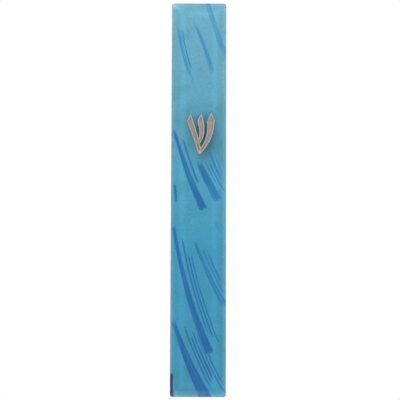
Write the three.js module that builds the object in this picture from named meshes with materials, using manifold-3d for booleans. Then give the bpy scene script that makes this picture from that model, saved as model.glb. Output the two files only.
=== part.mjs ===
// Mezuzah case: a fused-glass bar with a pewter shin, bonded to a rectangular aluminium tube.
// The bar is a clear cover over a coloured base that carries the painted strokes. The tube holds
// the rolled parchment. A cap closes its top and a silicone stopper its bottom.
// Millimetres. +Z runs up the doorpost, +X to the reader's right, and the glass faces -Y.
// The origin is the centre of the middle mounting pad, on the doorpost's surface.

import * as THREE from 'three';
import { mergeVertices } from 'three/addons/utils/BufferGeometryUtils.js';
import Module from 'manifold-3d';

const wasm = await Module();
wasm.setup();

// ---- Glass bar: a clear cover fused on a painted base ----
const glassWidth = 21;
const glassHeight = 150;
const glassCornerRadius = 1.0;
const coverThickness = 2.0;
const baseThickness = 3.0;
const rimWidth = 2.7;            // the soft edge that a kiln gives the front rim
const rimDepth = 1.6;
const rimSteps = 8;

// ---- Shin emblem ----
const emblemThickness = 1.4;
const emblemRimWidth = 0.5;
const emblemRecessDepth = 0.5;
const emblemFootHeight = 16.0;   // lowest point of the letter, above the middle of the glass
const emblemFootX = 0.4;
const emblemFootRadius = 0.85;
const emblemGlueThickness = 0.2;
const emblemGlueSpread = 0.15;   // pressed out past the letter's edge
// Each branch is a blade: a bent centre line from its root to its shoulder, where it is widest,
// and then a point. Places are measured from the lowest point of the letter.
const emblemBranches = [
  { root: [0, 0.9], bend: [-1.7, 7.4], shoulder: [-3.8, 13.0], tip: [-3.3, 15.7], widths: [1.6, 2.4] },
  { root: [-0.9, 4.0], bend: [1.8, 6.8], shoulder: [0.2, 12.8], tip: [0.6, 15.8], widths: [1.2, 2.4] },
  { root: [0, 0.9], bend: [4.5, 5.9], shoulder: [4.2, 12.6], tip: [4.3, 16.2], widths: [1.3, 2.9] },
];
const branchSteps = 8;

// ---- Rolled parchment and its film wrap ----
const scrollDiameter = 8.0;
const scrollCoreRadius = 1.3;
const parchmentThickness = 0.25;
const parchmentGap = 0.13;       // air left between one turn and the next
const scrollStepsPerTurn = 20;
const wrapThickness = 0.15;
const wrapClearance = 0.1;
const wrapOverhang = 1.0;        // film past each end of the parchment

// ---- Rectangular tube ----
const tubeWall = 1.2;
const tubeCornerRadius = 1.2;
const chamberWidth = 12.6;
const chamberCornerRadius = 0.5;
const chamberClearance = 0.3;    // beside the wrapped scroll, front and back
const tubeSetback = 4;           // glass past each end of the tube
const scrollHeadspace = 7;       // free height above the scroll

// ---- Top cap ----
const capPlateThickness = 1.5;
const capPlateBevel = 0.4;
const capPlugDepth = 5;
const capPlugWall = 1.2;
const capPlugClearance = 0.1;

// ---- Bottom stopper ----
const stopperFlangeThickness = 1.2;
const stopperPlugDepth = 8;
const stopperPlugClearance = 0.35;
const stopperRibClearance = 0.05;
const stopperRibHeight = 0.8;
const stopperRibCount = 3;
const stopperTabWidth = 8;
const stopperTabDepth = 3;
const stopperTabHeight = 2.4;

// ---- Adhesives ----
const bondTapeThickness = 0.6;
const bondTapeWidth = 6;
const bondTapeGap = 2;           // between the two strips
const bondTapeEndMargin = 3;
const padThickness = 0.8;
const padWidth = 12;
const padLength = 30;
const padEndMargin = 5;
const padCornerRadius = 1;

// ---- Sizes that follow from those above ----
const wrapInnerDiameter = scrollDiameter + 2 * wrapClearance;
const wrapDiameter = wrapInnerDiameter + 2 * wrapThickness;
const chamberDepth = wrapDiameter + 2 * chamberClearance;
const tubeWidth = chamberWidth + 2 * tubeWall;
const tubeDepth = chamberDepth + 2 * tubeWall;
const tubeLength = glassHeight - 2 * tubeSetback;
const tubeTop = tubeLength / 2;
const tubeBottom = -tubeLength / 2;
const scrollFloor = tubeBottom + stopperPlugDepth;
const wrapLength = tubeTop - capPlugDepth - scrollHeadspace - scrollFloor;
const parchmentLength = wrapLength - 2 * wrapOverhang;

// Layers from the doorpost forward: each is the Y of a face that two layers share.
const tubeBackFace = -padThickness;
const tubeAxisY = tubeBackFace - tubeDepth / 2;
const tubeFrontFace = tubeBackFace - tubeDepth;
const bondTapeFrontFace = tubeFrontFace - bondTapeThickness;
const baseFrontFace = bondTapeFrontFace - baseThickness;
const glassFrontFace = baseFrontFace - coverThickness;
const emblemBackFace = glassFrontFace - emblemGlueThickness;

// ---- Materials ----
const finish = (color, roughness, metalness = 0) =>
  new THREE.MeshStandardMaterial({ color, roughness, metalness });
const clearGlass = () => finish(0x6fb0ca, 0.25);
const paintedGlass = () => finish(0x4f9abc, 0.4);
const pewter = () => finish(0xa9aaa6, 0.35, 1);
const smokyGlue = () => finish(0x46606a, 0.4);
const anodisedAluminium = () => finish(0xb9bcc0, 0.38, 1);
const greyPlastic = () => finish(0x6a6f74, 0.5);
const greyFoamTape = () => finish(0x55595c, 0.9);
const whiteFoamTape = () => finish(0xe6e6e0, 0.9);
const silicone = () => finish(0x8f9599, 0.55);
const parchment = () => finish(0xe4d3ad, 0.75);
const clearFilm = () => finish(0xe8eef0, 0.15);

// ---- Shapes ----
function roundedRectangle(width, height, radius) {
  const x = width / 2 - radius;
  const y = height / 2 - radius;
  const quarter = Math.PI / 2;
  const shape = new THREE.Shape();
  shape.absarc(x, -y, radius, -quarter, 0);
  shape.absarc(x, y, radius, 0, quarter);
  shape.absarc(-x, y, radius, quarter, 2 * quarter);
  shape.absarc(-x, -y, radius, 2 * quarter, 3 * quarter);
  shape.closePath();
  return shape;
}

// A straight column of the outline, from height low to height high.
function column(shape, low, high, curveSegments = 6) {
  const geometry = new THREE.ExtrudeGeometry(shape, {
    depth: high - low,
    bevelEnabled: false,
    curveSegments,
  });
  return geometry.translate(0, 0, low);
}

// Turns a solid drawn on XY and rising along Z so that it lies on the plane Y = back and rises
// towards the reader, with the drawing's Y pointing up the doorpost.
function facingReader(geometry, back) {
  return geometry.rotateX(Math.PI / 2).translate(0, back, 0);
}

// A skin over rings of equal point counts, stacked along Z, with both ends closed.
function loft(rings) {
  const count = rings[0].length;
  const triangles = [];
  for (let level = 0; level + 1 < rings.length; level++) {
    for (let point = 0; point < count; point++) {
      const next = (point + 1) % count;
      const a = level * count + point;
      const b = level * count + next;
      triangles.push(a, b, b + count, a, b + count, a + count);
    }
  }
  const flat = rings[0].map((p) => new THREE.Vector2(p.x, p.y));
  const last = (rings.length - 1) * count;
  for (const [a, b, c] of THREE.ShapeUtils.triangulateShape(flat, [])) {
    triangles.push(c, b, a, last + a, last + b, last + c);
  }
  const geometry = new THREE.BufferGeometry().setFromPoints(rings.flat());
  geometry.setIndex(triangles);
  geometry.computeVertexNormals();
  return geometry;
}

// ---- Cutting and joining ----
function solid(geometry) {
  const bare = geometry.clone();
  bare.deleteAttribute('normal');
  bare.deleteAttribute('uv');
  const merged = mergeVertices(bare, 1e-4);
  const vertProperties = new Float32Array(merged.attributes.position.array);
  const triVerts = new Uint32Array(merged.index.array);
  return new wasm.Manifold(new wasm.Mesh({ numProp: 3, vertProperties, triVerts }));
}

function geometryOf(manifold) {
  const { vertProperties, triVerts } = manifold.getMesh();
  const geometry = new THREE.BufferGeometry();
  geometry.setAttribute('position', new THREE.BufferAttribute(vertProperties, 3));
  geometry.setIndex(new THREE.BufferAttribute(triVerts, 1));
  geometry.computeVertexNormals();
  return geometry;
}

const joined = (geometries) => geometries.map(solid).reduce((all, one) => all.add(one));

// ---- Glass bar ----
// Straight sides up to the rim, then a quarter ellipse over to the flat front.
function coverGeometry() {
  const ring = (inset, height) =>
    roundedRectangle(glassWidth - 2 * inset, glassHeight - 2 * inset, glassCornerRadius)
      .getPoints(6)
      .slice(0, -1)
      .map((p) => new THREE.Vector3(p.x, p.y, height));
  const rings = [ring(0, 0)];
  for (let step = 0; step <= rimSteps; step++) {
    const angle = (Math.PI / 2) * (step / rimSteps);
    const inset = rimWidth * (1 - Math.cos(angle));
    rings.push(ring(inset, coverThickness - rimDepth * (1 - Math.sin(angle))));
  }
  return facingReader(loft(rings), baseFrontFace);
}

function baseGeometry() {
  const sheet = roundedRectangle(glassWidth, glassHeight, glassCornerRadius);
  return facingReader(column(sheet, 0, baseThickness), bondTapeFrontFace);
}

// ---- Shin emblem ----
// The outline of one branch: up its right side, over the tip and down its left side.
function branchOutline({ root, bend, shoulder, tip, widths }) {
  const centre = new THREE.QuadraticBezierCurve(
    new THREE.Vector2(...root),
    new THREE.Vector2(...bend),
    new THREE.Vector2(...shoulder),
  );
  const left = [];
  const right = [];
  for (let step = 0; step <= branchSteps; step++) {
    const t = step / branchSteps;
    const along = centre.getTangent(t);
    const halfWidth = THREE.MathUtils.lerp(...widths, t) / 2;
    const across = new THREE.Vector2(-along.y, along.x).multiplyScalar(halfWidth);
    left.push(centre.getPoint(t).add(across));
    right.push(centre.getPoint(t).sub(across));
  }
  return [...right, new THREE.Vector2(...tip), ...left.reverse()];
}

function footOutline() {
  const foot = new THREE.Shape();
  foot.absarc(0, emblemFootRadius, emblemFootRadius, 0, 2 * Math.PI);
  return foot.getPoints(12).slice(0, -1);
}

// The same outline with every edge moved inwards by the distance.
function insetOutline(points, distance) {
  return points.map((point, i) => {
    const before = points[(i + points.length - 1) % points.length];
    const after = points[(i + 1) % points.length];
    const edgeIn = point.clone().sub(before).normalize();
    const edgeOut = after.clone().sub(point).normalize();
    const mitre = new THREE.Vector2(-edgeIn.y - edgeOut.y, edgeIn.x + edgeOut.x);
    return point.clone().addScaledVector(mitre, distance / (1 + edgeIn.dot(edgeOut)));
  });
}

const emblemOutlines = [...emblemBranches.map(branchOutline), footOutline()];

// All strokes of the letter as one solid between two heights, drawn in by the inset, or spread
// out where the inset is negative.
function letterSolid(inset, low, high) {
  const strokes = emblemOutlines.map((outline) =>
    column(new THREE.Shape(insetOutline(outline, inset)), low, high));
  return joined(strokes);
}

function placeEmblem(manifold, back) {
  return facingReader(geometryOf(manifold), back).translate(emblemFootX, 0, emblemFootHeight);
}

// The letter is sunk inside its rim everywhere but at its foot, which stays a solid bead.
function emblemGeometry() {
  const body = letterSolid(0, 0, emblemThickness);
  const recess = letterSolid(emblemRimWidth, emblemThickness - emblemRecessDepth, emblemThickness + 1);
  const foot = solid(column(new THREE.Shape(footOutline()), 0, emblemThickness + 1));
  return placeEmblem(body.subtract(recess.subtract(foot)), emblemBackFace);
}

function emblemGlueGeometry() {
  return placeEmblem(letterSolid(-emblemGlueSpread, 0, emblemGlueThickness), glassFrontFace);
}

// ---- Rolled parchment ----
// A spiral strip whose radius grows by one thickness and one gap on each turn.
function scrollGeometry() {
  const pitch = parchmentThickness + parchmentGap;
  const turns = (scrollDiameter / 2 - parchmentThickness - scrollCoreRadius) / pitch;
  const steps = Math.ceil(turns * scrollStepsPerTurn);
  const edge = (offset) => {
    const points = [];
    for (let step = 0; step <= steps; step++) {
      const turned = (turns * step) / steps;
      const radius = scrollCoreRadius + offset + pitch * turned;
      const angle = 2 * Math.PI * turned;
      points.push(new THREE.Vector2(radius * Math.cos(angle), radius * Math.sin(angle)));
    }
    return points;
  };
  const strip = new THREE.Shape([...edge(parchmentThickness), ...edge(0).reverse()]);
  const low = scrollFloor + wrapOverhang;
  return column(strip, low, low + parchmentLength).translate(0, tubeAxisY, 0);
}

function wrapGeometry() {
  const circle = (diameter) => new THREE.Shape().absarc(0, 0, diameter / 2, 0, 2 * Math.PI);
  const ring = circle(wrapDiameter);
  ring.holes.push(circle(wrapInnerDiameter));
  return column(ring, scrollFloor, scrollFloor + wrapLength, 20).translate(0, tubeAxisY, 0);
}

// ---- Tube, cap and stopper ----
// The chamber's section drawn in by a clearance on every side.
const chamberSection = (clearance) =>
  roundedRectangle(chamberWidth - 2 * clearance, chamberDepth - 2 * clearance, chamberCornerRadius);
const tubeSection = () => roundedRectangle(tubeWidth, tubeDepth, tubeCornerRadius);

function tubeGeometry() {
  const section = tubeSection();
  section.holes.push(chamberSection(0));
  return column(section, tubeBottom, tubeTop).translate(0, tubeAxisY, 0);
}

function capGeometry() {
  const bevel = capPlateBevel;
  const plate = new THREE.ExtrudeGeometry(tubeSection(), {
    depth: capPlateThickness - bevel,
    bevelThickness: bevel,
    bevelSize: bevel,
    bevelOffset: -bevel,
    bevelSegments: 3,
    curveSegments: 6,
  }).translate(0, 0, tubeTop);
  const foot = column(tubeSection(), tubeTop - bevel - 1, tubeTop);
  const plug = chamberSection(capPlugClearance);
  plug.holes.push(chamberSection(capPlugClearance + capPlugWall));
  const skirt = column(plug, tubeTop - capPlugDepth, tubeTop + capPlateThickness / 2);
  const cap = solid(plate).subtract(solid(foot)).add(solid(skirt));
  return geometryOf(cap).translate(0, tubeAxisY, 0);
}

function stopperGeometry() {
  const flangeBottom = tubeBottom - stopperFlangeThickness;
  const flange = column(tubeSection(), flangeBottom, tubeBottom);
  const plug = column(chamberSection(stopperPlugClearance), tubeBottom, scrollFloor);
  const tabSection = roundedRectangle(stopperTabWidth, stopperTabDepth, stopperTabDepth / 2 - 0.01);
  const tab = column(tabSection, flangeBottom - stopperTabHeight, flangeBottom);
  const ribs = [];
  for (let rib = 1; rib <= stopperRibCount; rib++) {
    const middle = tubeBottom + (stopperPlugDepth * rib) / (stopperRibCount + 1);
    const low = middle - stopperRibHeight / 2;
    ribs.push(column(chamberSection(stopperRibClearance), low, low + stopperRibHeight));
  }
  return geometryOf(joined([flange, plug, tab, ...ribs])).translate(0, tubeAxisY, 0);
}

// ---- Adhesives ----
function bondTapeGeometry(side) {
  const strip = roundedRectangle(bondTapeWidth, tubeLength - 2 * bondTapeEndMargin, 0.2);
  const tape = facingReader(column(strip, 0, bondTapeThickness, 2), tubeFrontFace);
  return tape.translate((side * (bondTapeGap + bondTapeWidth)) / 2, 0, 0);
}

function padGeometry(level) {
  const pad = roundedRectangle(padWidth, padLength, padCornerRadius);
  const reach = tubeLength / 2 - padEndMargin - padLength / 2;
  return facingReader(column(pad, 0, padThickness), 0).translate(0, 0, level * reach);
}

// ---- Assembly ----
const mezuzahCase = new THREE.Group();

function place(name, geometry, material) {
  const mesh = new THREE.Mesh(geometry, material);
  mesh.name = name;
  mezuzahCase.add(mesh);
}

place('clear_cover_glass', coverGeometry(), clearGlass());
place('painted_base_glass', baseGeometry(), paintedGlass());
place('shin_emblem', emblemGeometry(), pewter());
place('emblem_adhesive', emblemGlueGeometry(), smokyGlue());
place('glass_bond_tape_left', bondTapeGeometry(-1), greyFoamTape());
place('glass_bond_tape_right', bondTapeGeometry(1), greyFoamTape());
place('rear_tube', tubeGeometry(), anodisedAluminium());
place('top_cap', capGeometry(), greyPlastic());
place('bottom_stopper', stopperGeometry(), silicone());
place('parchment_scroll', scrollGeometry(), parchment());
place('scroll_wrap', wrapGeometry(), clearFilm());
[['lower', -1], ['middle', 0], ['upper', 1]].forEach(([name, level]) => {
  place(`mounting_pad_${name}`, padGeometry(level), whiteFoamTape());
});

export default mezuzahCase;
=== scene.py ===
"""Mezuzah case: a satin fused-glass bar, clear over a painted base, with a cast pewter shin.

Metres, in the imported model's frame: +Z up the doorpost, +X to the reader's right, -Y to the reader.
"""

import math

import bmesh
import bpy
import numpy as np
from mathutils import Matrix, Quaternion, Vector


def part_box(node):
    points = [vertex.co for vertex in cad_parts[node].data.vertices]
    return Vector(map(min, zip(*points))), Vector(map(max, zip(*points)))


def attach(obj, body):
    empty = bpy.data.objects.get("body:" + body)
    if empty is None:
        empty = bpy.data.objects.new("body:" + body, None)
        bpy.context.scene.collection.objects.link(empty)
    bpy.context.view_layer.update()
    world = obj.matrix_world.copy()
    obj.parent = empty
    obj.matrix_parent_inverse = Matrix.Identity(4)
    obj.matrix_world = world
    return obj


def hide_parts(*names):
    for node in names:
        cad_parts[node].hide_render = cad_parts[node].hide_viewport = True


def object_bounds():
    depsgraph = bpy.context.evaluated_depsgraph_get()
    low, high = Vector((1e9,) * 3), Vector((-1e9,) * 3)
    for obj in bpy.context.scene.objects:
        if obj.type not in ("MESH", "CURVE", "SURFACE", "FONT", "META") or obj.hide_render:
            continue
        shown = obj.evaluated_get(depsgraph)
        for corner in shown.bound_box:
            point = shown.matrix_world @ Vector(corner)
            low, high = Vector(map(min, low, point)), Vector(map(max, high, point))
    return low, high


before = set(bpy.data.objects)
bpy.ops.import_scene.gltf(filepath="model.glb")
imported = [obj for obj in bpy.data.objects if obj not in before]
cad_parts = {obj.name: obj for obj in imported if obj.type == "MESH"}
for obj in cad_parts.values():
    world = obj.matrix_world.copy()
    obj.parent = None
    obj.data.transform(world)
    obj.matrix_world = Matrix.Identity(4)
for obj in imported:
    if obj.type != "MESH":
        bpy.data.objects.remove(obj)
cad_low, cad_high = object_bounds()

MM = 0.001
X, Y, Z = 0, 1, 2

# ----- Sizes of the finish that the bare solids don't carry ----------------------------------
GLASS_CORNER = 1.0 * MM
RIM_WIDTH = 2.7 * MM            # the soft edge that the kiln gives the front rim
RIM_DEPTH = 1.6 * MM
RIM_POINTS = 15
GLASS_BACK_EDGE = 0.25 * MM     # ground edge at the back
ENAMEL_BITE = 0.04 * MM         # the enamel fuses into the cover, so it starts this far inside it
ENAMEL_DEPTH = 0.1 * MM         # and reaches this far into the base
ENAMEL_INSET = 0.08 * MM
ENAMEL_CELL = 0.26 * MM
RIM_LIGHT_REACH = 7 * MM             # how far in from its edge the painted rim light reaches
TUBE_CORNER = 1.2 * MM
CHAMBER_CORNER = 0.5 * MM
TUBE_WALL = 1.2 * MM
SAWN_EDGE = 0.12 * MM           # deburred edge of a cut end
PAD_CORNER = 1.0 * MM
STRIP_CORNER = 0.2 * MM
FOAM_EDGE = 0.12 * MM           # how far a cut edge of foam is crushed


# ----- Mesh makers ---------------------------------------------------------------------------
def smoothstep(low, high, value):
    """0 below low, 1 above high, and 3t^2 - 2t^3 between them."""
    t = np.clip((value - low) / (high - low), 0.0, 1.0)
    return t * t * (3 - 2 * t)


LATTICE = 256                   # points along each side of grain's lattice, which then repeats


def grain(across, along, seed):
    """Smooth random values from 0 to 1: a lattice of random numbers, blended between its points
    by smoothstep. The two coordinates are in lattice steps."""
    lattice = np.random.default_rng(seed).random((LATTICE, LATTICE))
    column, row = np.floor(across).astype(int), np.floor(along).astype(int)
    right, up = smoothstep(0, 1, across - column), smoothstep(0, 1, along - row)

    def at(i, j):
        return lattice[(column + i) % LATTICE, (row + j) % LATTICE]

    low = at(0, 0) * (1 - right) + at(1, 0) * right
    high = at(0, 1) * (1 - right) + at(1, 1) * right
    return low * (1 - up) + high * up


def make_piece(name, points, faces, material, body, replaced, sharp=40):
    """A smooth-shaded mesh object with creases where faces meet at more than sharp degrees."""
    mesh = bpy.data.meshes.new(name)
    mesh.from_pydata(points.tolist(), [], faces)
    mesh.validate()
    mesh.shade_smooth()
    mesh.set_sharp_from_angle(angle=math.radians(sharp))
    return adopt_piece(name, mesh, material, body, replaced)


def adopt_piece(name, mesh, material, body, replaced):
    """Puts the mesh in the scene, paints it and lets it ride in place of its CAD node."""
    mesh.materials.clear()
    mesh.materials.append(material)
    piece = bpy.data.objects.new(name, mesh)
    bpy.context.scene.collection.objects.link(piece)
    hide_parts(replaced)
    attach(piece, body)
    return piece


def strips(rows, columns, rows_close=False, columns_close=False):
    """Four-sided faces between the points of a rows x columns grid numbered row by row. A closed
    direction joins its last line to its first."""
    row = np.arange(rows if rows_close else rows - 1)[:, None]
    column = np.arange(columns if columns_close else columns - 1)[None, :]
    next_row, next_column = (row + 1) % rows, (column + 1) % columns
    corners = [row * columns + column, row * columns + next_column,
               next_row * columns + next_column, next_row * columns + column]
    return np.stack(np.broadcast_arrays(*corners), axis=-1).reshape(-1, 4)


def skin(loops):
    """Points and faces of a closed skin over loops, a (levels, count, 3) array, with a flat face
    over the first and the last loop. Seen from the last level the loops run anticlockwise."""
    levels, count, _ = loops.shape
    faces = strips(levels, count, columns_close=True).tolist()
    faces.append(list(range(count))[::-1])
    faces.append(list(range((levels - 1) * count, levels * count)))
    return loops.reshape(-1, 3), faces


def ring_skin(loops):
    """Points and faces of a closed skin over loops whose last level joins its first. They run
    anticlockwise seen from the side that the levels lead to."""
    levels, count, _ = loops.shape
    return loops.reshape(-1, 3), strips(levels, count, True, True).tolist()


CORNER_POINTS = 9               # on each quarter circle of a rounded rectangle


def corner_loop(width, depth, radius):
    """A rounded rectangle about the origin, anticlockwise: four quarter circles of the radius, each
    about its own corner's centre."""
    quarter = np.linspace(0, math.pi / 2, CORNER_POINTS)
    angle = np.concatenate([quarter + side * math.pi / 2 for side in (-1, 0, 1, 2)])
    sign_x = np.repeat([1, 1, -1, -1], CORNER_POINTS)
    sign_y = np.repeat([-1, 1, 1, -1], CORNER_POINTS)
    x = sign_x * (width / 2 - radius) + radius * np.cos(angle)
    y = sign_y * (depth / 2 - radius) + radius * np.sin(angle)
    return np.stack([x, y], axis=-1)


def upright_loops(levels, centre):
    """Rounded rectangles stacked up Z about a centre on XY: each level is (width, depth, radius,
    height)."""
    loops = []
    for width, depth, radius, height in levels:
        outline = corner_loop(width, depth, radius) + np.array(centre)
        loops.append(np.column_stack([outline, np.full(len(outline), height)]))
    return np.array(loops)


def steps_between(low, high, edge, edge_steps, middle_steps):
    """Places from low to high: evenly spaced within edge of both ends, and evenly between."""
    start = np.linspace(low, low + edge, edge_steps + 1)
    middle = np.linspace(low + edge, high - edge, middle_steps + 1)
    end = np.linspace(high - edge, high, edge_steps + 1)
    return np.concatenate([start, middle[1:-1], end])


def rounded_sheet(low, high, radius, corner_steps, columns, rows):
    """A rounded rectangle on XZ as a grid of (x, z). A grid point in a corner square slides along
    the line to the square's inner corner until its distance from there is its larger offset, which
    bends the square's two outer edges into the corner's arc."""
    x = steps_between(low[0], high[0], radius, corner_steps, columns)
    z = steps_between(low[1], high[1], radius, corner_steps, rows)
    grid_x, grid_z = np.meshgrid(x, z)
    inner_x = np.clip(grid_x, low[0] + radius, high[0] - radius)
    inner_z = np.clip(grid_z, low[1] + radius, high[1] - radius)
    off_x, off_z = grid_x - inner_x, grid_z - inner_z
    length = np.maximum(np.hypot(off_x, off_z), 1e-12)      # never 0, so that it can divide
    pull = np.maximum(abs(off_x), abs(off_z)) / length
    return np.stack([inner_x + off_x * pull, inner_z + off_z * pull], axis=-1)


def edge_of(numbers):
    """The outer line of a grid, once round, anticlockwise seen from the front."""
    return np.concatenate([numbers[0, :-1], numbers[:-1, -1], numbers[-1, :0:-1], numbers[:0:-1, 0]])


def slab(low, high, radius, levels, corner_steps=5, columns=12, rows=24):
    """A slab facing the reader. Its edge passes through the levels, each an inset and a y, from
    the back forwards, and its front is a grid at the last level. Returns the points, the faces and
    the front grid's point numbers."""
    low, high = np.array(low), np.array(high)
    size = (radius, corner_steps, columns, rows)
    inset, front_y = levels[-1]
    front = rounded_sheet(low + inset, high - inset, *size)
    numbers = np.arange(front.shape[0] * front.shape[1]).reshape(front.shape[:2])
    points = [np.insert(front.reshape(-1, 2), 1, front_y, axis=1)]
    faces = strips(*numbers.shape).tolist()
    outer = edge_of(numbers)
    count = len(outer)
    for level, (inset, y) in enumerate(reversed(levels[:-1])):
        ring = edge_of(rounded_sheet(low + inset, high - inset, *size))
        points.append(np.insert(ring, 1, y, axis=1))
        behind = numbers.size + level * count + np.arange(count)
        faces += np.stack([behind, np.roll(behind, -1), np.roll(outer, -1), outer], axis=1).tolist()
        outer = behind
    faces.append(outer[::-1].tolist())
    return np.concatenate(points), faces, numbers


# ----- Material makers -----------------------------------------------------------------------
MIX_A, MIX_B, MIX_RESULT = 6, 7, 2      # the colour sockets of a Mix node


def colour(code):
    """An sRGB hex value as linear red, green, blue and alpha."""
    channels = [int(code[i:i + 2], 16) / 255 for i in (1, 3, 5)]
    linear = [c / 12.92 if c <= 0.04045 else ((c + 0.055) / 1.055) ** 2.4 for c in channels]
    return (*linear, 1.0)


def add(tree, kind, inputs=None, **settings):
    """Adds a node. Settings are its own properties, and inputs are its sockets' values or what
    feeds them."""
    node = tree.nodes.new("ShaderNode" + kind)
    for key, value in settings.items():
        setattr(node, key, value)
    for key, value in (inputs or {}).items():
        if isinstance(value, bpy.types.NodeSocket):
            tree.links.new(value, node.inputs[key])
        else:
            node.inputs[key].default_value = value
    return node


def start_material(name):
    """An empty material with its node tree and Object coordinates."""
    material = bpy.data.materials.new(name)
    material.use_nodes = True
    tree = material.node_tree
    tree.nodes.clear()
    place = add(tree, "TexCoord").outputs["Object"]
    return material, tree, place


def close_material(tree, **inputs):
    """Ends the tree in a Principled shader whose sockets are given with _ for each space."""
    sockets = {key.replace("_", " "): value for key, value in inputs.items()}
    shader = add(tree, "BsdfPrincipled", sockets)
    add(tree, "OutputMaterial", {"Surface": shader.outputs["BSDF"]})


def fused_glass():
    """Kiln-fused soda-lime glass, satin from an acid wash: clear with the faint green-blue of its
    iron, and a soft roughness, uneven over 6 mm, that blurs what lies behind it a little. The acid's
    pits are 0.4 mm apart, drawn coarser than real ones so that they show."""
    material, tree, place = start_material("fused_soda_lime_glass")
    cloud = add(tree, "TexNoise", {"Vector": place, "Scale": 160.0, "Detail": 3.0})
    rough = add(tree, "MapRange", {"Value": cloud.outputs["Fac"], "To Min": 0.13, "To Max": 0.21})
    pits = add(tree, "TexNoise", {"Vector": place, "Scale": 2600.0, "Detail": 2.0})
    bump = add(tree, "Bump", {"Height": pits.outputs["Fac"], "Strength": 0.05, "Distance": 0.02 * MM})
    close_material(
        tree,
        Base_Color=colour("#e6f4f4"),
        Roughness=rough.outputs["Result"],
        IOR=1.52,
        Transmission_Weight=1.0,
        Normal=bump.outputs["Normal"],
    )
    return material


def brushed_enamel(low_z, high_z):
    """Glass enamel laid on by hand and fused under the cover: a turquoise wash that deepens
    downwards, partly its own tone and partly painted shade, finely mottled, with painted rim light
    near the edge, and blue strokes over it. The layer's own attribute says where each stroke lies
    and how deep it is. Wetted by the cover, it has no gloss of its own."""
    material, tree, place = start_material("brushed_glass_enamel")
    spot = add(tree, "SeparateXYZ", {"Vector": place})
    height = add(tree, "MapRange", {"Value": spot.outputs["Z"], "From Min": low_z, "From Max": high_z})

    # The wash is deepest below the middle and palest at the top: partly the wash's own tone and partly
    # painted shade of the light from above.
    wash = add(tree, "ValToRGB", {"Fac": height.outputs["Result"]})
    stops = wash.color_ramp.elements
    stops[0].color = colour("#48a8cb")
    stops[-1].color = colour("#84c1d7")
    for place_up, shade in ((0.36, "#48abcf"), (0.52, "#5ab5d4"), (0.76, "#74bad3")):
        stops.new(place_up).color = colour(shade)

    # The powder's grain is 0.8 mm across, and the wash is uneven over about 9 mm.
    powder = add(tree, "TexNoise", {"Vector": place, "Scale": 1250.0, "Detail": 2.0})
    cloud = add(tree, "TexNoise", {"Vector": place, "Scale": 110.0, "Detail": 3.0})
    dull = add(tree, "MapRange", {"Value": cloud.outputs["Fac"], "From Min": 0.5, "From Max": 0.3,
                                  "To Max": 0.35})
    teal = add(tree, "Mix", {0: dull.outputs["Result"], MIX_A: wash.outputs["Color"],
                             MIX_B: colour("#469aae")}, data_type="RGBA")
    mottle = add(tree, "MapRange", {"Value": powder.outputs["Fac"], "From Min": 0.3,
                                    "From Max": 0.7, "To Min": 0.92, "To Max": 1.07})

    # Painted rim light: greyer at the very edge as painted reflection of the white surround, darker 2
    # mm in as painted shade, lighter 4.3 mm in as painted highlight.
    marks = add(tree, "Attribute", attribute_name="marks")
    parts = add(tree, "SeparateColor", {"Color": marks.outputs["Color"]})
    edge = add(tree, "FloatCurve", {"Value": parts.outputs["Blue"]})
    curve = edge.mapping.curves[0]
    curve.points[0].location, curve.points[1].location = (0.0, 0.54), (1.0, 0.5)
    for inwards, level in ((0.1, 0.52), (0.28, 0.44), (0.62, 0.545), (0.85, 0.5)):
        curve.points.new(inwards, level)
    edge.mapping.update()
    rim_painted_light = add(tree, "Math", {0: edge.outputs["Value"], 1: 2.0}, operation="MULTIPLY")
    level = add(tree, "Math", {0: rim_painted_light.outputs["Value"], 1: mottle.outputs["Result"]},
                operation="MULTIPLY")
    # The grey #86adb4 mixed in at the very edge is painted reflection.
    edge_painted_reflection = add(tree, "MapRange", {"Value": parts.outputs["Blue"], "From Min": 0.24, "From Max": 0.0,
                                  "To Max": 0.6})
    with_edge_painted_reflection = add(tree, "Mix", {0: edge_painted_reflection.outputs["Result"], MIX_A: teal.outputs[MIX_RESULT],
                               MIX_B: colour("#86adb4")}, data_type="RGBA")
    # The mottle and the painted rim light multiply the wash here.
    mottled = add(tree, "Mix", {0: 1.0, MIX_A: with_edge_painted_reflection.outputs[MIX_RESULT],
                                MIX_B: level.outputs["Value"]},
                  data_type="RGBA", blend_type="MULTIPLY")

    deep = add(tree, "Mix", {0: parts.outputs["Green"], MIX_A: colour("#3ea3d4"),
                             MIX_B: colour("#006cb2")}, data_type="RGBA")
    ink = add(tree, "MapRange", {"Value": parts.outputs["Green"], "From Min": 0.93, "From Max": 1.0})
    navy = add(tree, "Mix", {0: ink.outputs["Result"], MIX_A: deep.outputs[MIX_RESULT],
                             MIX_B: colour("#1d4278")}, data_type="RGBA")
    painted = add(tree, "Mix", {0: parts.outputs["Red"], MIX_A: mottled.outputs[MIX_RESULT],
                                MIX_B: navy.outputs[MIX_RESULT]}, data_type="RGBA")
    close_material(
        tree,
        Base_Color=painted.outputs[MIX_RESULT],
        Roughness=0.7,
        Specular_IOR_Level=0.0,
    )
    return material


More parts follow.
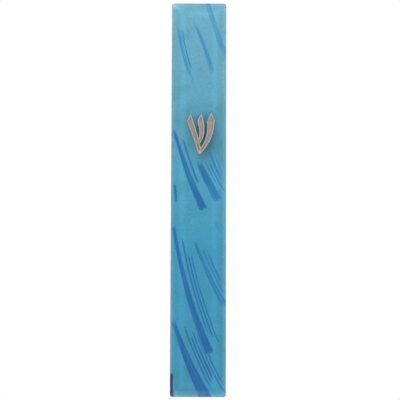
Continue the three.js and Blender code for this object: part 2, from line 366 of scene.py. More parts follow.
def opal_glass(low_z, high_z):
    """Turquoise opal sheet glass: opaque, with cloudy veins 6 mm apart and a fire-polished edge. Its
    colour deepens downwards with the wash, partly its own tone and partly painted shade."""
    material, tree, place = start_material("turquoise_opal_glass")
    spot = add(tree, "SeparateXYZ", {"Vector": place})
    height = add(tree, "MapRange", {"Value": spot.outputs["Z"], "From Min": low_z, "From Max": high_z})
    vein = add(tree, "TexNoise", {"Vector": place, "Scale": 165.0, "Detail": 4.0})
    # Darker at the bottom, lighter at the top: partly its own tone, partly painted shade of the light
    # from above.
    body = add(tree, "Mix", {0: height.outputs["Result"], MIX_A: colour("#2b7f9f"),
                             MIX_B: colour("#55a6c2")}, data_type="RGBA")
    milky = add(tree, "MapRange", {"Value": vein.outputs["Fac"], "From Min": 0.45, "From Max": 0.75,
                                   "To Max": 0.35})
    veined = add(tree, "Mix", {0: milky.outputs["Result"], MIX_A: body.outputs[MIX_RESULT],
                               MIX_B: colour("#9ccfdd")}, data_type="RGBA")
    rough = add(tree, "MapRange", {"Value": vein.outputs["Fac"], "To Min": 0.12, "To Max": 0.22})
    close_material(
        tree,
        Base_Color=veined.outputs[MIX_RESULT],
        Roughness=rough.outputs["Result"],
        IOR=1.52,
    )
    return material


def cast_pewter(low, high):
    """Cast pewter, tumbled so that only the crest of its rim is bright. Antique patina is left dark
    in the corners and down the sides, and warm on the sunk floor, most golden near the foot. The
    letter's box gives the heights, and the mould's pebbling is 0.45 mm apart."""
    material, tree, place = start_material("antiqued_cast_pewter")
    spot = add(tree, "SeparateXYZ", {"Vector": place})
    sunk = add(tree, "MapRange", {"Value": spot.outputs["Y"], "From Min": low[Y], "From Max": high[Y]})
    pebble = add(tree, "TexNoise", {"Vector": place, "Scale": 2200.0, "Detail": 3.0})
    patch = add(tree, "TexNoise", {"Vector": place, "Scale": 420.0, "Detail": 2.0})
    pink = add(tree, "Mix", {0: patch.outputs["Fac"], MIX_A: colour("#b3a39c"),
                             MIX_B: colour("#d3c5be")}, data_type="RGBA")
    foot = add(tree, "MapRange", {"Value": spot.outputs["Z"], "From Min": low[Z] + 5 * MM,
                                  "From Max": low[Z] + 2 * MM, "To Max": 0.8})
    warm = add(tree, "Mix", {0: foot.outputs["Result"], MIX_A: pink.outputs[MIX_RESULT],
                             MIX_B: colour("#cfa672")}, data_type="RGBA")

    # The floor lies 0.36 of the way back, so the patina shows on both sides of it.
    patina = add(tree, "ValToRGB", {"Fac": sunk.outputs["Result"]})
    stops = patina.color_ramp.elements
    stops[0].color = colour("#cbcece")
    stops[-1].color = colour("#3d3a3a")
    for back, shade in ((0.03, "#a9abaa"), (0.1, "#55504e"), (0.3, "#4d4745")):
        stops.new(back).color = colour(shade)
    floor = add(tree, "ValToRGB", {"Fac": sunk.outputs["Result"]})
    stops = floor.color_ramp.elements
    stops[0].color = (0, 0, 0, 1)
    stops[-1].color = (0, 0, 0, 1)
    for back, level in ((0.3, 0), (0.35, 1), (0.37, 1), (0.42, 0)):
        stops.new(back).color = (level, level, level, 1)
    metal = add(tree, "Mix", {0: floor.outputs["Color"], MIX_A: patina.outputs["Color"],
                              MIX_B: warm.outputs[MIX_RESULT]}, data_type="RGBA")
    rough = add(tree, "MapRange", {"Value": sunk.outputs["Result"], "From Max": 0.3,
                                   "To Min": 0.24, "To Max": 0.5})
    bump = add(tree, "Bump", {"Height": pebble.outputs["Fac"], "Strength": 0.35,
                              "Distance": 0.05 * MM})
    close_material(
        tree,
        Base_Color=metal.outputs[MIX_RESULT],
        Metallic=1.0,
        Roughness=rough.outputs["Result"],
        Normal=bump.outputs["Normal"],
    )
    return material


def anodised_aluminium():
    """Clear-anodised 6063 extrusion: satin silver-grey with faint die lines along its length,
    0.25 mm apart."""
    material, tree, place = start_material("clear_anodised_aluminium")
    drawn = add(tree, "Mapping", {"Vector": place, "Scale": (4000.0, 4000.0, 14.0)})
    lines = add(tree, "TexNoise", {"Vector": drawn.outputs["Vector"], "Scale": 1.0, "Detail": 3.0})
    haze = add(tree, "TexNoise", {"Vector": place, "Scale": 90.0, "Detail": 3.0})
    metal = add(tree, "Mix", {0: haze.outputs["Fac"], MIX_A: colour("#a9adb1"),
                              MIX_B: colour("#c3c6c9")}, data_type="RGBA")
    rough = add(tree, "MapRange", {"Value": lines.outputs["Fac"], "To Min": 0.26, "To Max": 0.5})
    bump = add(tree, "Bump", {"Height": lines.outputs["Fac"], "Strength": 0.25,
                              "Distance": 0.02 * MM})
    close_material(
        tree,
        Base_Color=metal.outputs[MIX_RESULT],
        Metallic=1.0,
        Roughness=rough.outputs["Result"],
        Normal=bump.outputs["Normal"],
    )
    return material


def moulded_abs():
    """Injection-moulded ABS in mid grey, with the fine spark-eroded grain of its tool, 0.2 mm."""
    material, tree, place = start_material("moulded_abs")
    erosion = add(tree, "TexNoise", {"Vector": place, "Scale": 4500.0, "Detail": 2.0})
    flow = add(tree, "TexNoise", {"Vector": place, "Scale": 200.0, "Detail": 2.0})
    shade = add(tree, "Mix", {0: flow.outputs["Fac"], MIX_A: colour("#5c6166"),
                              MIX_B: colour("#6f757a")}, data_type="RGBA")
    bump = add(tree, "Bump", {"Height": erosion.outputs["Fac"], "Strength": 0.4,
                              "Distance": 0.02 * MM})
    close_material(
        tree,
        Base_Color=shade.outputs[MIX_RESULT],
        Roughness=0.48,
        Normal=bump.outputs["Normal"],
    )
    return material


def moulded_silicone():
    """Translucent moulded silicone: smoke grey, soft at the edges, with a light bloom of dust that is
    uneven over 2 mm."""
    material, tree, place = start_material("smoke_grey_silicone")
    bloom = add(tree, "TexNoise", {"Vector": place, "Scale": 500.0, "Detail": 4.0})
    shade = add(tree, "Mix", {0: bloom.outputs["Fac"], MIX_A: colour("#868c90"),
                              MIX_B: colour("#9da3a7")}, data_type="RGBA")
    rough = add(tree, "MapRange", {"Value": bloom.outputs["Fac"], "To Min": 0.38, "To Max": 0.62})
    close_material(
        tree,
        Base_Color=shade.outputs[MIX_RESULT],
        Roughness=rough.outputs["Result"],
        Subsurface_Weight=0.35,
        Subsurface_Radius=(1.0, 1.0, 1.0),
        Subsurface_Scale=1.2 * MM,
    )
    return material


def foam_tape(name, dark, pale, cell):
    """Closed-cell acrylic or polyethylene foam: matt, with cut cells of the given size."""
    material, tree, place = start_material(name)
    cells = add(tree, "TexVoronoi", {"Vector": place, "Scale": 1 / cell, "Randomness": 1.0})
    shade = add(tree, "MapRange", {"Value": cells.outputs["Distance"], "From Max": 0.6})
    body = add(tree, "Mix", {0: shade.outputs["Result"], MIX_A: colour(dark), MIX_B: colour(pale)},
               data_type="RGBA")
    bump = add(tree, "Bump", {"Height": cells.outputs["Distance"], "Strength": 0.6,
                              "Distance": 0.1 * MM}, invert=True)
    close_material(
        tree,
        Base_Color=body.outputs[MIX_RESULT],
        Roughness=0.85,
        Normal=bump.outputs["Normal"],
    )
    return material


def calf_parchment():
    """Limed and scraped parchment: warm cream, mottled over 6 mm where the skin was thicker, with
    scraping marks 0.4 mm apart round the roll and a slight waxy sheen."""
    material, tree, place = start_material("scraped_parchment")
    mottle = add(tree, "TexNoise", {"Vector": place, "Scale": 170.0, "Detail": 5.0})
    scraped = add(tree, "Mapping", {"Vector": place, "Scale": (300.0, 300.0, 2600.0)})
    marks = add(tree, "TexNoise", {"Vector": scraped.outputs["Vector"], "Scale": 1.0, "Detail": 3.0})
    skin_tone = add(tree, "Mix", {0: mottle.outputs["Fac"], MIX_A: colour("#cbb584"),
                                  MIX_B: colour("#efe4c6")}, data_type="RGBA")
    bump = add(tree, "Bump", {"Height": marks.outputs["Fac"], "Strength": 0.4,
                              "Distance": 0.03 * MM})
    close_material(
        tree,
        Base_Color=skin_tone.outputs[MIX_RESULT],
        Roughness=0.6,
        Sheen_Weight=0.15,
        Normal=bump.outputs["Normal"],
    )
    return material


def clear_film():
    """Cast polypropylene film: clear, glossy and a little creased round the roll, with the creases
    4 mm apart and drawn out along it."""
    material, tree, place = start_material("clear_polypropylene_film")
    pulled = add(tree, "Mapping", {"Vector": place, "Scale": (260.0, 260.0, 60.0)})
    crease = add(tree, "TexNoise", {"Vector": pulled.outputs["Vector"], "Scale": 1.0, "Detail": 3.0})
    bump = add(tree, "Bump", {"Height": crease.outputs["Fac"], "Strength": 0.25,
                              "Distance": 0.3 * MM})
    close_material(
        tree,
        Base_Color=colour("#f4f8f8"),
        Roughness=0.08,
        IOR=1.49,
        Transmission_Weight=1.0,
        Normal=bump.outputs["Normal"],
    )
    return material


def glue_dark_as_painted_shadow():
    """Two-part epoxy, cured hard where it was pressed out, and cloudy over 1 mm where the two parts
    were mixed. Its dark teal-grey is painted shadow along the letter's edge and in the gaps between
    its blades."""
    material, tree, place = start_material("epoxy_dark_as_painted_shadow")
    cloud = add(tree, "TexNoise", {"Vector": place, "Scale": 900.0, "Detail": 2.0})
    # Dark teal-grey: painted shadow round the letter and in the gaps between its blades.
    shade = add(tree, "Mix", {0: cloud.outputs["Fac"], MIX_A: colour("#37525d"),
                              MIX_B: colour("#4f6f7a")}, data_type="RGBA")
    close_material(tree, Base_Color=shade.outputs[MIX_RESULT], Roughness=0.3)
    return material


# ----- Glass front ---------------------------------------------------------------------------
WAVE_HEIGHT = 0.02 * MM


def kiln_waves(x, z):
    """How far the kiln left the front proud or shy, in metres: three low waves, 15, 11 and 9 mm from
    crest to crest, that cross at an angle, each lower than the one before."""
    return WAVE_HEIGHT * (
        np.sin(2 * math.pi * (x / (17 * MM) + z / (31 * MM)))
        + 0.7 * np.sin(2 * math.pi * (z / (13 * MM) - x / (23 * MM)) + 1.3)
        + 0.5 * np.sin(2 * math.pi * (x / (9 * MM) + 0.3) + z / (21 * MM))
    )


def cover_glass():
    """The clear cover: straight sides up from the joint, and a quarter-ellipse rim that meets a front
    with low kiln waves in it."""
    low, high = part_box("clear_cover_glass")
    back, front = high[Y], low[Y]
    levels = [(0, back)]
    for angle in np.linspace(0, math.pi / 2, RIM_POINTS):
        levels.append((RIM_WIDTH * (1 - math.cos(angle)), front + RIM_DEPTH * (1 - math.sin(angle))))
    points, faces, _ = slab((low[X], low[Z]), (high[X], high[Z]), GLASS_CORNER, levels,
                            corner_steps=8, columns=36, rows=260)
    near_front = smoothstep(front + RIM_DEPTH, front, points[:, Y])
    points[:, Y] += near_front * kiln_waves(points[:, X], points[:, Z])
    make_piece("clear_cover", points, faces, fused_glass(), "case",
               "clear_cover_glass")


def base_glass():
    """The opal base behind the enamel, with its back edge ground."""
    low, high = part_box("painted_base_glass")
    back, front = high[Y], low[Y] + ENAMEL_DEPTH
    levels = [(GLASS_BACK_EDGE, back), (0, back - GLASS_BACK_EDGE), (0, front)]
    points, faces, _ = slab((low[X], low[Z]), (high[X], high[Z]), GLASS_CORNER, levels)
    make_piece("opal_base", points, faces, opal_glass(low[Z], high[Z]), "case",
               "painted_base_glass")


# ----- Enamel --------------------------------------------------------------------------------
# Loose brush strokes, all slanting down to the right, few and pale at the top, more and deeper
# below. Each starts at a place in mm from the middle of the glass (right, up). Its slant from
# upright and how far it bends over its length are in degrees. Then come its length in mm, its
# width at the start and at the end in mm, how deep its blue is and how loaded the brush was, both
# from 0 to 1, over how many mm it fades in and out, and how many stray bristles ran beside it.
STROKES = [
    # start, slant, bend, length, widths, blue, load, fades, bristles
    ((2.2, 78.0), 17, -4, 27, (1.6, 2.0), 0.08, 0.30, (0, 7), 0),
    ((-8.0, 67.0), 15, 18, 27, (1.6, 0.9), 0.14, 0.25, (4, 8), 1),
    ((-2.6, 69.0), 20, -12, 23, (0.8, 2.0), 0.14, 0.30, (6, 2), 0),
    ((3.6, 19.0), 22, 8, 14, (0.8, 1.2), 0.15, 0.60, (3, 5), 1),
    ((-9.6, 27.0), 20, 12, 34, (0.8, 2.9), 0.72, 0.95, (4, 1), 1),
    ((-0.6, 14.5), 27, 2, 18, (2.0, 3.2), 0.48, 0.90, (4, 1), 2),
    ((-8.9, 5.0), 4, -4, 7, (0.9, 0.7), 0.72, 0.90, (1, 1), 0),
    ((5.8, -8.0), 26, 4, 8, (0.7, 0.9), 0.18, 0.60, (2, 2), 1),
    ((-1.4, -17.0), 25, 6, 27, (0.8, 2.1), 0.45, 0.85, (2, 2), 2),
    ((-9.2, -11.0), 16, 16, 50, (0.9, 3.1), 0.84, 1.00, (2, 1), 3),
    ((-9.4, -46.0), 24, 14, 36, (0.9, 5.0), 0.84, 1.00, (2, 0), 5),
    ((-9.9, -66.0), 0, -2, 12, (1.3, 2.0), 1.00, 1.00, (1, 0), 0),
]
STROKE_STEPS = 48
BRISTLE_GAP = 0.5 * MM          # drawn coarser than real bristles, so that the lines show
BRISTLE_RUN = 7 * MM
STROKE_EDGE = 0.09 * MM         # how softly a stroke's side ends
STRAY_GAP = 1.15 * MM           # from one stray bristle's line to the next
STRAY_WIDTH = 0.5               # in mm, as the widths in STROKES are
STRAY_SEED = 11
DRIEST = 0.01                   # less cover than this counts as bare wash
BAND = 3                        # bristles to a band that wets and wavers together
BAND_WAVER = 0.15               # of the stroke's half width


def arc_path(start, slant, bend, length):
    """An arc: its heading, measured from straight down towards the right, turns evenly by bend over
    the length, and the path adds up equal steps along it."""
    heading = np.radians(slant + bend * (np.linspace(0, 1, STROKE_STEPS) - 0.5))
    step = length * MM / STROKE_STEPS
    steps = np.column_stack([np.sin(heading), -np.cos(heading)]) * step
    return np.array(start) * MM + np.vstack([[0, 0], np.cumsum(steps, axis=0)])


def stray_bristles():
    """Every stroke and the thin lines that stray bristles drew beside it. A stray line is the
    stroke's own arc, moved to its right and started and stopped at random steps. Its depth of blue
    is drawn a little towards two thirds, and it fades in over 2 mm and out over 3 mm."""
    random = np.random.default_rng(STRAY_SEED)
    for start, slant, bend, length, widths, blue, load, fades, bristles in STROKES:
        yield arc_path(start, slant, bend, length), widths, blue, load, fades
        right = np.array([math.cos(math.radians(slant)), math.sin(math.radians(slant))])
        for stray in range(bristles):
            line = arc_path(start, slant, bend, length)
            first = random.integers(2, 12)
            last = random.integers(34, STROKE_STEPS)
            reach = widths[1] / 2 * MM + (stray + 0.7) * STRAY_GAP
            thin = STRAY_WIDTH * random.uniform(0.7, 1.4)
            yield line[first:last] + right * reach, (thin, thin), 0.85 * blue + 0.1, 0.9, (2, 3)


def lay_stroke(spots, number, line, widths, blue, load, fades):
    """Cover and depth of one stroke at each spot. A spot's distance along and across the stroke come
    from the nearest point of its path. The stroke is full inside its half width, whose edge wavers,
    and it is drawn out into bristle lines where the brush ran dry. Its number picks the bristles."""
    step = np.diff(line, axis=0)
    run = np.concatenate([[0], np.cumsum(np.hypot(*step.T))])
    direction = np.vstack([step, step[-1]])
    direction /= np.hypot(*direction.T)[:, None]
    offset = spots[:, None, :] - line[None, :, :]
    nearest = np.argmin((offset**2).sum(axis=2), axis=1)
    offset = offset[np.arange(len(spots)), nearest]
    heading = direction[nearest]
    along = run[nearest] + (offset * heading).sum(axis=1)
    across = offset[:, 0] * heading[:, 1] - offset[:, 1] * heading[:, 0]

    share = np.clip(along / run[-1], 0, 1)
    half = (widths[0] + (widths[1] - widths[0]) * share) * MM / 2
    # The lattice starts at (40, 20), and every stroke has a seed of its own for each grain.
    gap, reach = BAND * BRISTLE_GAP, BAND * BRISTLE_RUN
    bristles = grain(across / BRISTLE_GAP + 40, along / BRISTLE_RUN + 20, 100 + number)
    bands = grain(across / gap + 40, along / reach + 20, 200 + number)
    ragged = half * (1 + BAND_WAVER * (bands - 0.5))
    side = smoothstep(-STROKE_EDGE, STROKE_EDGE, ragged - abs(across))
    fade_in, fade_out = (max(fade, 0.01) * MM for fade in fades)     # never 0, so both can divide
    start = smoothstep(0, 1, (along + (bristles - 0.5) * fade_in) / fade_in)
    end = smoothstep(0, 1, (run[-1] - along + (bristles - 0.5) * fade_out) / fade_out)

    # A dry bristle still covers 0.85 as much as a wet one, and an empty brush 0.7 as much as a full
    # one. The blue varies by 0.3 each way between bristles and deepens by 0.1 along the stroke. Only
    # a stroke of pure ink goes past 0.9, and it doesn't vary.
    wet = smoothstep(0.95 - load, 1.35 - load, bristles + 0.25 * bands)
    cover = side * start * end * (0.85 + 0.15 * wet) * (0.7 + 0.3 * load)
    depth = blue if blue == 1 else np.clip(blue + 0.6 * (bristles - 0.5) + 0.1 * share, 0, 0.9)
    return cover, np.broadcast_to(depth, cover.shape)


def enamel_marks(points, low, high):
    """The marks attribute: red is how much of the wash is covered, green is how deep the blue is
    there, each stroke laid over those before it, and blue is the distance from the glass's edge, 0
    at the edge and 1 from RIM_LIGHT_REACH inwards."""
    spots = points[:, [X, Z]]
    values = np.zeros((len(points), 4))
    for number, (line, widths, blue, load, fades) in enumerate(stray_bristles()):
        reach = (max(widths) + 1) * MM
        near = np.all((spots > line.min(axis=0) - reach) & (spots < line.max(axis=0) + reach), axis=1)
        if not near.any():
            continue
        cover, depth = lay_stroke(spots[near], number, line, widths, blue, load, fades)
        old_cover, old_depth = values[near, 0], values[near, 1]
        values[near, 1] = old_depth + (depth - old_depth) * np.where(old_cover > DRIEST, cover, 1)
        values[near, 0] = old_cover + (1 - old_cover) * cover
    inwards = np.minimum(spots - low, high - spots).min(axis=1)
    values[:, 2] = np.clip(inwards / RIM_LIGHT_REACH, 0, 1)
    values[:, 3] = 1
    return values


def enamel_layer():
    """The enamel between the two sheets: a thin slab whose front is a grid fine enough to carry the
    strokes."""
    low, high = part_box("painted_base_glass")
    front, back = low[Y] - ENAMEL_BITE, low[Y] + ENAMEL_DEPTH
    low_x, high_x = low[X] + ENAMEL_INSET, high[X] - ENAMEL_INSET
    low_z, high_z = low[Z] + ENAMEL_INSET, high[Z] - ENAMEL_INSET
    corner = GLASS_CORNER - ENAMEL_INSET
    columns = round((high_x - low_x - 2 * corner) / ENAMEL_CELL)
    rows = round((high_z - low_z - 2 * corner) / ENAMEL_CELL)
    points, faces, _ = slab((low_x, low_z), (high_x, high_z), corner, [(0, back), (0, front)],
                            corner_steps=4, columns=columns, rows=rows)
    layer = make_piece("brushed_enamel_layer", points, faces, brushed_enamel(low_z, high_z), "case",
                       "painted_base_glass")
    marks = layer.data.attributes.new("marks", "FLOAT_COLOR", "POINT")
    values = enamel_marks(points, np.array([low_x, low_z]), np.array([high_x, high_z]))
    marks.data.foreach_set("color", values.ravel())


# ----- Shin ----------------------------------------------------------------------------------
CAST_EDGE = 0.18 * MM           # how round the mould left every edge
GLUE_EDGE = 0.05 * MM
WELD_REACH = 0.002 * MM         # corners nearer than this are one corner
FLAT_ANGLE = math.radians(1)    # faces that meet at less than this are one face
CREASE_ANGLE = math.radians(40)
EDGE_ANGLE = math.radians(35)


def welded_copy(node, name):
    """A copy of a CAD node's mesh with its loose triangles joined and its flat faces made whole."""
    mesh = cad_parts[node].data.copy()
    mesh.name = name
    shape = bmesh.new()
    shape.from_mesh(mesh)
    bmesh.ops.remove_doubles(shape, verts=shape.verts, dist=WELD_REACH)
    bmesh.ops.dissolve_limit(shape, angle_limit=FLAT_ANGLE, verts=shape.verts, edges=shape.edges)
    bmesh.ops.recalc_face_normals(shape, faces=shape.faces)
    shape.to_mesh(mesh)
    shape.free()
    mesh.shade_smooth()
    mesh.set_sharp_from_angle(angle=CREASE_ANGLE)
    return mesh


def round_edges(piece, width, segments=3):
    """Rounds every edge whose faces meet at more than EDGE_ANGLE."""
    bevel = piece.modifiers.new("rounded_edges", "BEVEL")
    bevel.width = width
    bevel.segments = segments
    bevel.limit_method = "ANGLE"
    bevel.angle_limit = EDGE_ANGLE
    bevel.harden_normals = True


def shin_emblem():
    """The cast letter, with its edges rounded as the mould leaves them, and its glue, dark as painted
    shadow.
    """
    letter = adopt_piece("pewter_shin", welded_copy("shin_emblem", "pewter_shin"),
                         cast_pewter(*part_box("shin_emblem")), "case", "shin_emblem")
    round_edges(letter, CAST_EDGE)
    # The glue's dark colour is painted shadow round the letter.
    glue = adopt_piece("shin_glue_painted_shadow", welded_copy("emblem_adhesive", "shin_glue_painted_shadow"), glue_dark_as_painted_shadow(), "case",
                       "emblem_adhesive")
    round_edges(glue, GLUE_EDGE, segments=2)


# ----- Tube, cap, stopper --------------------------------------------------------------------
ROUND_POINTS = 5                # on a quarter circle of a rounded rim
CAP_PLAY = 0.2 * MM             # how much narrower the cap's skirt is than the chamber, side to side
CAP_SKIRT_WALL = 1.2 * MM
CAP_LEAD = 0.3 * MM             # how far the skirt's end slopes in
CAP_RIM = 0.35 * MM
CAP_SEAT = 0.01 * MM            # how far the plate's underside is above the tube's end
FLANGE_THICKNESS = 1.2 * MM
FLANGE_RIM = 0.3 * MM
TAB_SIZE = (8 * MM, 3 * MM, 1.49 * MM)      # width, depth and corner, all but a stadium
TAB_RIM = 0.5 * MM
TAB_FLARE = 0.4 * MM            # how far the tab spreads where it meets the flange
PLUG_PLAY = 0.7 * MM            # how much narrower the bare plug is than the chamber, side to side
PLUG_LEAD = 0.5 * MM            # the slope at the plug's top: this high, and as far in on each side
RIBS = 3
RIB_SWELL = 0.3 * MM            # how far a rib stands out of the plug
RIB_HALF_HEIGHT = 0.4 * MM
RIB_POINTS = 9


def rectangle_of(node):
    """Centre, width and depth on XY, and the lowest and highest Z, of a CAD node."""
    low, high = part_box(node)
    centre = ((low[X] + high[X]) / 2, (low[Y] + high[Y]) / 2)
    return centre, high[X] - low[X], high[Y] - low[Y], low[Z], high[Z]


def rear_tube():
    """The extrusion: an outer and an inner rounded rectangle joined over deburred sawn ends."""
    centre, width, depth, bottom, top = rectangle_of("rear_tube")
    bore = (width - 2 * TUBE_WALL, depth - 2 * TUBE_WALL)
    e = SAWN_EDGE
    outer = [
        (width - 2 * e, depth - 2 * e, TUBE_CORNER - e, bottom),
        (width, depth, TUBE_CORNER, bottom + e),
        (width, depth, TUBE_CORNER, top - e),
        (width - 2 * e, depth - 2 * e, TUBE_CORNER - e, top),
    ]
    inner = [
        (bore[0] + 2 * e, bore[1] + 2 * e, CHAMBER_CORNER + e, top),
        (*bore, CHAMBER_CORNER, top - e),
        (*bore, CHAMBER_CORNER, bottom + e),
        (bore[0] + 2 * e, bore[1] + 2 * e, CHAMBER_CORNER + e, bottom),
    ]
    points, faces = ring_skin(upright_loops(outer + inner, centre))
    make_piece("aluminium_tube", points, faces, anodised_aluminium(), "case",
               "rear_tube", sharp=25)


def rounded_rim(width, depth, radius, edge, low, high):
    """Levels of a plate from its underside to its top, with both rims rounded by edge."""
    angles = np.linspace(0, math.pi / 2, ROUND_POINTS)
    under = [(edge * (1 - math.sin(a)), low + edge * (1 - math.cos(a))) for a in angles]
    over = [(edge * (1 - math.cos(a)), high - edge * (1 - math.sin(a))) for a in angles]
    return [(width - 2 * inset, depth - 2 * inset, radius - inset, z) for inset, z in under + over]


def top_cap():
    """The cap: from the hollow of its skirt, down inside the skirt, up outside it, and over the
    plate's rounded rim."""
    centre, width, depth, bottom, top = rectangle_of("top_cap")
    tube_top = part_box("rear_tube")[1][Z]
    seat = tube_top + CAP_SEAT
    skirt = (width - 2 * TUBE_WALL - CAP_PLAY, depth - 2 * TUBE_WALL - CAP_PLAY)
    hollow = (skirt[0] - 2 * CAP_SKIRT_WALL, skirt[1] - 2 * CAP_SKIRT_WALL, CHAMBER_CORNER)
    levels = [
        (*hollow, tube_top),
        (*hollow, bottom),
        (skirt[0] - 2 * CAP_LEAD, skirt[1] - 2 * CAP_LEAD, CHAMBER_CORNER, bottom),
        (*skirt, CHAMBER_CORNER, bottom + 2 * CAP_LEAD),
        (*skirt, CHAMBER_CORNER, seat),
        *rounded_rim(width, depth, TUBE_CORNER, CAP_RIM, seat, top),
    ]
    points, faces = skin(upright_loops(levels, centre))
    make_piece("moulded_top_cap", points, faces, moulded_abs(), "case", "top_cap",
               sharp=50)


def bottom_stopper():
    """The stopper, from the foot of its pull tab to the top of its plug: a stadium-shaped tab that
    flares into a soft flange under the tube, and a plug with evenly spaced sealing ribs, each half an
    ellipse in section."""
    centre, width, depth, bottom, top = rectangle_of("bottom_stopper")
    tube_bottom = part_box("rear_tube")[0][Z]
    flange_bottom = tube_bottom - FLANGE_THICKNESS
    tab_width, tab_depth, tab_corner = TAB_SIZE
    core = (width - 2 * TUBE_WALL - PLUG_PLAY, depth - 2 * TUBE_WALL - PLUG_PLAY)
    levels = []
    for angle in np.linspace(0, math.pi / 2, ROUND_POINTS):
        inset = TAB_RIM * (1 - math.sin(angle))
        levels.append((tab_width - 2 * inset, tab_depth - 2 * inset, tab_corner - inset,
                       bottom + TAB_RIM * (1 - math.cos(angle))))
    for angle in np.linspace(0, math.pi / 2, ROUND_POINTS):
        flare = TAB_FLARE * (1 - math.cos(angle))
        levels.append((tab_width + 2 * flare, tab_depth + 2 * flare, tab_corner + flare,
                       flange_bottom - TAB_FLARE * (1 - math.sin(angle))))
    levels += rounded_rim(width, depth, TUBE_CORNER, FLANGE_RIM, flange_bottom, tube_bottom)
    levels.append((*core, CHAMBER_CORNER, tube_bottom))
    for rib in range(1, RIBS + 1):
        middle = tube_bottom + (top - tube_bottom) * rib / (RIBS + 1)
        for angle in np.linspace(-math.pi / 2, math.pi / 2, RIB_POINTS):
            swell = RIB_SWELL * math.cos(angle)
            levels.append((core[0] + 2 * swell, core[1] + 2 * swell, CHAMBER_CORNER + swell,
                           middle + RIB_HALF_HEIGHT * math.sin(angle)))
    levels.append((*core, CHAMBER_CORNER, top - PLUG_LEAD))
    levels.append((core[0] - 2 * PLUG_LEAD, core[1] - 2 * PLUG_LEAD, CHAMBER_CORNER, top))
    points, faces = skin(upright_loops(levels, centre))
    make_piece("silicone_stopper", points, faces, moulded_silicone(), "stopper",
               "bottom_stopper", sharp=50)


# ----- Parchment and film --------------------------------------------------------------------
SHEET_THICKNESS = 0.25 * MM
SHEET_EDGE = 0.05 * MM          # how far the parchment's cut edges are worn
ROLL_CORE = 1.3 * MM            # radius of the open middle
ROLL_PITCH = 0.38 * MM          # from one turn to the next
ROLL_RADIUS = 4.0 * MM
ROLL_STEPS = 72                 # in each turn
FILM_THICKNESS = 0.13 * MM
FILM_POINTS = (96, 60)          # round the film and along it
FLUTES = 5
FLUTE_DEPTH = 0.03 * MM
FLUTE_TWIST = 9 * MM            # the flutes turn by 1 radian over FLUTES of these


def about_roll(reach, angle, height):
    """Points at each reach, angle and height about the roll's upright middle, a row to an angle."""
    low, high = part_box("scroll_wrap")
    return np.stack([
        (low[X] + high[X]) / 2 + reach * np.cos(angle)[:, None],
        (low[Y] + high[Y]) / 2 + reach * np.sin(angle)[:, None],
        np.broadcast_to(height, reach.shape),
    ], axis=-1)


def rolled_parchment():
    """The parchment: a thick strip's cross-section carried along a spiral whose radius grows evenly
    with its angle, from the core to the outside."""
    low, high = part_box("parchment_scroll")
    turns = (ROLL_RADIUS - SHEET_THICKNESS - ROLL_CORE) / ROLL_PITCH
    angle = np.linspace(0, 2 * math.pi * turns, round(turns * ROLL_STEPS))
    radius = ROLL_CORE + ROLL_PITCH * angle / (2 * math.pi)
    worn = SHEET_EDGE
    far = SHEET_THICKNESS
    out = np.array([0, worn, far - worn, far, far, far - worn, worn, 0])
    foot = [low[Z] + worn, low[Z], low[Z], low[Z] + worn]
    head = [high[Z] - worn, high[Z], high[Z], high[Z] - worn]
    loops = about_roll(radius[:, None] + out, angle, np.array(foot + head))
    points, faces = skin(loops[::-1])
    make_piece("rolled_parchment", points, faces, calf_parchment(), "scroll",
               "parchment_scroll")


def film_wrap():
    """The film: a thin wall carried round a circle, closed on itself, with slight flutes in it where
    it was twisted tight. The flutes are a sine of the angle that turns with the height, all of it
    inside the circle."""
    low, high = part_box("scroll_wrap")
    outer = (high[X] - low[X]) / 2
    around, along = FILM_POINTS
    rising = np.linspace(low[Z], high[Z], along)
    height = np.concatenate([rising, rising[::-1]])
    wall = np.repeat([outer, outer - FILM_THICKNESS], along)
    angle = np.linspace(0, 2 * math.pi, around, endpoint=False)
    flute = FLUTE_DEPTH * np.sin(FLUTES * angle[:, None] + height / FLUTE_TWIST) - FLUTE_DEPTH
    points, faces = ring_skin(about_roll(wall + flute, angle, height)[::-1])
    make_piece("film_wrap", points, faces, clear_film(), "scroll", "scroll_wrap")


# ----- Tapes ---------------------------------------------------------------------------------
def tape(node, name, material, radius):
    """A strip of foam tape with slightly crushed cut edges."""
    low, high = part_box(node)
    levels = [(FOAM_EDGE, high[Y]), (0, high[Y] - FOAM_EDGE), (0, low[Y] + FOAM_EDGE),
              (FOAM_EDGE, low[Y])]
    points, faces, _ = slab((low[X], low[Z]), (high[X], high[Z]), radius, levels)
    make_piece(name, points, faces, material, "case", node)


def tapes():
    """Grey bonding tape between glass and tube, and white pads between tube and doorpost."""
    grey = foam_tape("grey_acrylic_foam", "#3d4144", "#5c6163", 0.35 * MM)
    white = foam_tape("white_polyethylene_foam", "#cfd0cb", "#efefe9", 0.45 * MM)
    for side in ("left", "right"):
        tape(f"glass_bond_tape_{side}", f"bonding_tape_{side}", grey, STRIP_CORNER)
    for level in ("lower", "middle", "upper"):
        tape(f"mounting_pad_{level}", f"foam_pad_{level}", white, PAD_CORNER)


# ----- Stage ---------------------------------------------------------------------------------
SENSOR = 36                             # mm
CAMERA_DISTANCE = 0.32
CAMERA_TILT = math.radians(-4.0)        # below the middle, looking slightly up
CAMERA_ROLL = math.radians(0.2)
VIEW_HEIGHT = 151.3 * MM                # what the frame takes in at the object
AIM = Vector((0.57 * MM, 0, -1.2 * MM))     # how far the camera looks from the glass's middle
FLOOR_DROP = 0.17                       # below the case, clear of the drawn stopper
FLOOR_RADIUS = 0.7
FLOOR_POINTS = 96


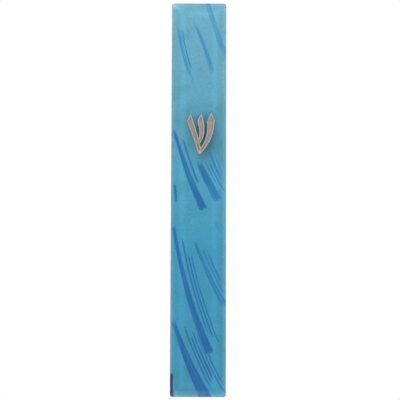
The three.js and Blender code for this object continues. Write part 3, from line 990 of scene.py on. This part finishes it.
def camera():
    """Square on to the glass and close to it."""
    lens = bpy.data.cameras.new("camera")
    lens.sensor_width = SENSOR
    lens.lens = SENSOR * CAMERA_DISTANCE / VIEW_HEIGHT
    lens.clip_start = 0.01
    eye = bpy.data.objects.new("camera", lens)
    bpy.context.scene.collection.objects.link(eye)
    glass_low, glass_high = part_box("clear_cover_glass")
    target = Vector((0, glass_low[Y], (glass_low[Z] + glass_high[Z]) / 2)) + AIM
    back = Vector((0, -math.cos(CAMERA_TILT), math.sin(CAMERA_TILT)))
    eye.location = target + back * CAMERA_DISTANCE
    eye.rotation_mode = "QUATERNION"
    turn = (-back).to_track_quat("-Z", "Y")
    eye.rotation_quaternion = turn @ Quaternion((0, 0, 1), CAMERA_ROLL)
    bpy.context.scene.camera = eye


def soft_box(name, place, size, power):
    """A square area light, in watts, that faces the origin. It lights the case and leaves no mirror
    image in the glass."""
    light = bpy.data.lights.new(name, "AREA")
    light.size = size
    light.energy = power
    lamp = bpy.data.objects.new(name, light)
    lamp.location = place
    lamp.rotation_mode = "QUATERNION"
    lamp.rotation_quaternion = (-Vector(place)).to_track_quat("-Z", "Y")
    lamp.visible_glossy = False
    bpy.context.scene.collection.objects.link(lamp)


def stage():
    """A white surround whose light falls off behind the camera, though it looks white from every
    side, two soft boxes and a pale floor under the hanging case."""
    world = bpy.data.worlds.new("white_surround")
    bpy.context.scene.world = world
    world.use_nodes = True
    tree = world.node_tree
    tree.nodes.clear()
    side = add(tree, "SeparateXYZ", {"Vector": add(tree, "TexCoord").outputs["Generated"]})
    glow = add(tree, "MapRange", {"Value": side.outputs["Y"], "From Min": -0.5, "From Max": 0.3,
                                  "To Min": 0.62, "To Max": 1.0})
    seen = add(tree, "LightPath").outputs["Is Camera Ray"]
    level = add(tree, "Math", {0: glow.outputs["Result"], 1: seen}, operation="MAXIMUM")
    sky = add(tree, "Background", {"Color": (1, 1, 1, 1), "Strength": level.outputs["Value"]})
    add(tree, "OutputWorld", {"Surface": sky.outputs["Background"]})
    soft_box("key", place=(-0.4, -0.5, 0.75), size=0.6, power=13.0)
    soft_box("fill", place=(0.5, -0.3, 0.1), size=0.4, power=1.0)

    angle = np.linspace(0, 2 * math.pi, FLOOR_POINTS, endpoint=False)
    ring = np.column_stack([FLOOR_RADIUS * np.cos(angle), FLOOR_RADIUS * np.sin(angle),
                            np.full(FLOOR_POINTS, cad_low[Z] - FLOOR_DROP)])
    mesh = bpy.data.meshes.new("floor")
    mesh.from_pydata(ring.tolist(), [], [list(range(FLOOR_POINTS))])
    material, tree, _ = start_material("pale_floor")
    close_material(tree, Base_Color=colour("#f2f2f0"), Roughness=0.8)
    mesh.materials.append(material)
    floor = bpy.data.objects.new("floor", mesh)
    bpy.context.scene.collection.objects.link(floor)
    bpy.context.scene.view_settings.view_transform = "Standard"


camera()
stage()
cover_glass()
base_glass()
enamel_layer()
shin_emblem()
rear_tube()
top_cap()
bottom_stopper()
rolled_parchment()
film_wrap()
tapes()
